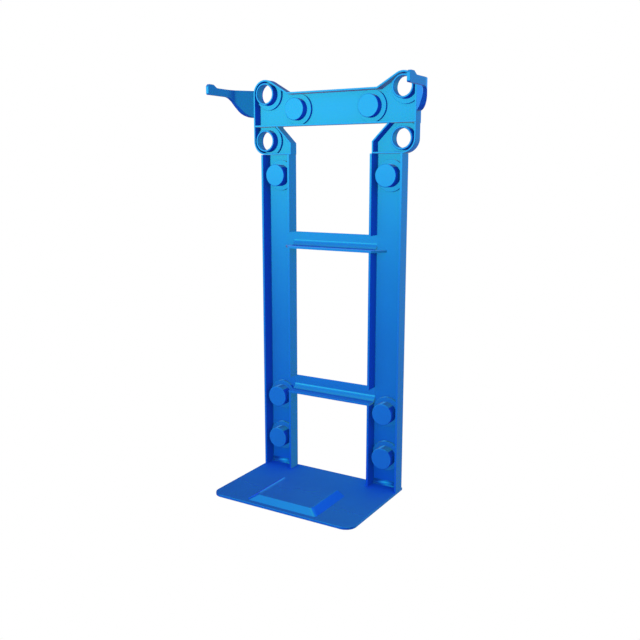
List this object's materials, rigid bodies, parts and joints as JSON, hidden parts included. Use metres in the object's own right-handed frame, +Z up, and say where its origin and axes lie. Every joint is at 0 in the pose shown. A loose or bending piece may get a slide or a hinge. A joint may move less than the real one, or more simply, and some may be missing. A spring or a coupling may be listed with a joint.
{
  "type": "upright carrier frame",
  "caption": "Blue steel upright carrier frame with a foot plate, channel uprights, rungs, crossbar, bushes, studs and hook arms.",
  "frame": {"origin": "centre of the foot plate's underside", "axes": "+Z up along the uprights, front of the frame towards -Y, +X to the right of the frame seen from the front"},
  "size_m": [0.41, 0.213, 0.7735],
  "materials": {
    "blue_paint": "gloss",
    "zinc": "satin"
  },
  "bodies": {
    "root": {"foot_plate": "blue_paint", "raised_pad": "blue_paint", "right_upright": "blue_paint", "left_upright": "blue_paint", "lower_rung": "blue_paint", "upper_rung": "blue_paint", "crossbar": "blue_paint", "right_gusset": "blue_paint", "left_gusset": "blue_paint", "right_splice_plate": "blue_paint", "left_splice_plate": "blue_paint", "upper_right_bush": "blue_paint", "upper_left_bush": "blue_paint", "lower_right_bush": "blue_paint", "lower_left_bush": "blue_paint", "right_bottom_washer": "blue_paint", "left_bottom_washer": "blue_paint", "right_bottom_stud": "blue_paint", "left_bottom_stud": "blue_paint", "right_middle_washer": "blue_paint", "left_middle_washer": "blue_paint", "right_middle_stud": "blue_paint", "left_middle_stud": "blue_paint", "right_top_washer": "blue_paint", "left_top_washer": "blue_paint", "right_top_stud": "blue_paint", "left_top_stud": "blue_paint", "right_crossbar_washer": "blue_paint", "left_crossbar_washer": "blue_paint", "right_crossbar_stud": "blue_paint", "left_crossbar_stud": "blue_paint", "stud_screws": "zinc", "screw_washers": "zinc", "right_hook_arm": "blue_paint", "left_hook_arm": "blue_paint"}
  },
  "joints": []
}
